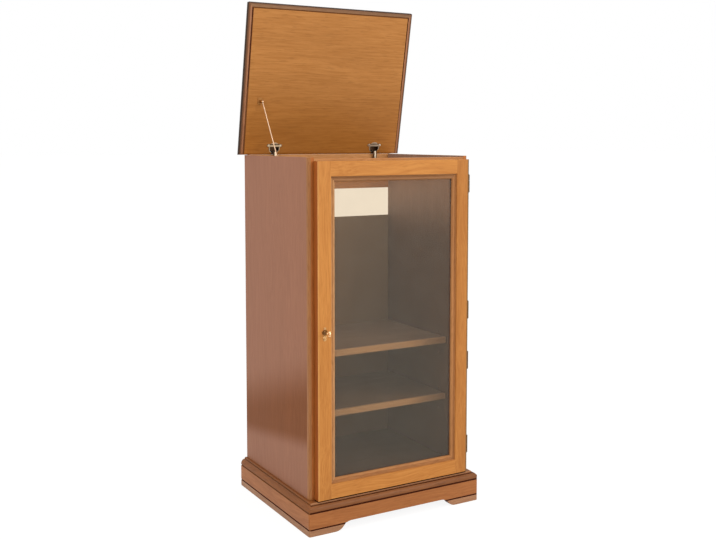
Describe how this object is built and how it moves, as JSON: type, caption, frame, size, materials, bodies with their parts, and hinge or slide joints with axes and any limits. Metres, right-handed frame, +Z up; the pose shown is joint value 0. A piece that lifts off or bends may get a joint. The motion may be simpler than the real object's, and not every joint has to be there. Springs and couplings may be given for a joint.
{
  "type": "hi-fi cabinet",
  "caption": "Upright wooden hi-fi cabinet with a framed glass door, moulded plinth, adjustable shelves and a lift-up lid on a sliding stay.",
  "frame": {"origin": "on the floor, at the middle of the plinth", "axes": "+Z up, the glass door faces -Y, +X to the viewer's right"},
  "size_m": [0.58, 0.5047, 1.4992],
  "materials": {
    "side_wood": "satin varnish, straight grain",
    "edge_wood": "satin varnish on solid wood",
    "inner_wood": "satin varnish",
    "lid_wood": "satin varnish, straight grain",
    "lid_edge_wood": "satin varnish on solid wood",
    "plinth_wood": "satin varnish, straight grain",
    "moulding_wood": "satin varnish on solid wood",
    "raw_wood": "bare pine",
    "back_board": "smooth board",
    "shelf_wood": "satin varnish",
    "door_wood": "satin varnish, straight grain",
    "bead_wood": "satin varnish on solid wood",
    "smoked_glass": "clear, lightly smoked",
    "hinge_bronze": "dark bronzed",
    "hinge_steel": "nickel-plated",
    "stay_brass": "satin",
    "lock_brass": "polished",
    "pad_rubber": "matt",
    "pin_steel": "plain"
  },
  "bodies": {
    "carcass": {"plinth_front": "plinth_wood", "plinth_left": "plinth_wood", "plinth_right": "plinth_wood", "plinth_rear": "plinth_wood", "plinth_blocks": "raw_wood", "moulding_front": "moulding_wood", "moulding_left": "moulding_wood", "moulding_right": "moulding_wood", "bottom_panel": "inner_wood", "side_left": "side_wood", "side_right": "side_wood", "edge_left": "edge_wood", "edge_right": "edge_wood", "rail_front": "inner_wood", "rail_hinge": "inner_wood", "back_panel": "back_board", "shelf_upper": "shelf_wood", "shelf_upper_edge": "shelf_wood", "shelf_lower": "shelf_wood", "shelf_lower_edge": "shelf_wood", "shelf_pins": "pin_steel", "door_buffers": "pad_rubber", "lid_hinge_arms": "hinge_steel", "lid_hinge_plates": "hinge_steel", "stay_base": "stay_brass", "hinge_frame_leaves": "hinge_bronze", "hinge_pins": "hinge_bronze", "lock_striker": "lock_brass"},
    "lid": {"lid_panel": "lid_wood", "lid_edge_front": "lid_edge_wood", "lid_edge_left": "lid_edge_wood", "lid_edge_right": "lid_edge_wood", "lid_cups": "hinge_steel", "lid_hinge_pins": "pin_steel", "stay_bracket": "stay_brass"},
    "stay_rod_body": {"stay_rod": "stay_brass", "stay_stop": "stay_brass"},
    "stay_guide_body": {"stay_guide": "stay_brass", "stay_knob": "stay_brass"},
    "door": {"door_stile_left": "door_wood", "door_stile_right": "door_wood", "door_rail_top": "door_wood", "door_rail_bottom": "door_wood", "door_bead_left": "bead_wood", "door_bead_right": "bead_wood", "door_bead_top": "bead_wood", "door_bead_bottom": "bead_wood", "door_glass": "smoked_glass", "door_glass_stops": "bead_wood", "hinge_door_leaves": "hinge_bronze", "lock_plate": "lock_brass", "lock_barrel": "lock_brass"},
    "key": {"lock_plug": "lock_brass", "lock_tongue": "lock_brass", "lock_key": "lock_brass"}
  },
  "joints": [
    {"name": "lid_hinge", "type": "hinge", "parent": "carcass", "child": "lid", "pos_m": [0, 0.232, 1.05], "axis": [1, 0, 0], "range_deg": [0, 79.2]},
    {"name": "stay_rod_pivot", "type": "hinge", "parent": "lid", "child": "stay_rod_body", "pos_m": [-0.226, 0.18661, 1.20524], "axis": [1, 0, 0], "range_deg": [-39.6, 0]},
    {"name": "stay_guide_pivot", "type": "hinge", "parent": "carcass", "child": "stay_guide_body", "pos_m": [-0.226, 0.07271, 1.02192], "axis": [1, 0, 0], "range_deg": [0, 39.6]},
    {"name": "door_hinge", "type": "hinge", "parent": "carcass", "child": "door", "pos_m": [0.2585, -0.213, 0], "axis": [0, 0, 1], "range_deg": [0, 110]},
    {"name": "key_turn", "type": "hinge", "parent": "door", "child": "key", "pos_m": [-0.231, -0.2035, 0.563], "axis": [0, 1, 0], "range_deg": [0, 90]}
  ],
  "couplings": [
    {"joint": "stay_rod_pivot", "follows": "lid_hinge", "ratio": -0.5},
    {"joint": "stay_guide_pivot", "follows": "lid_hinge", "ratio": 0.5}
  ]
}
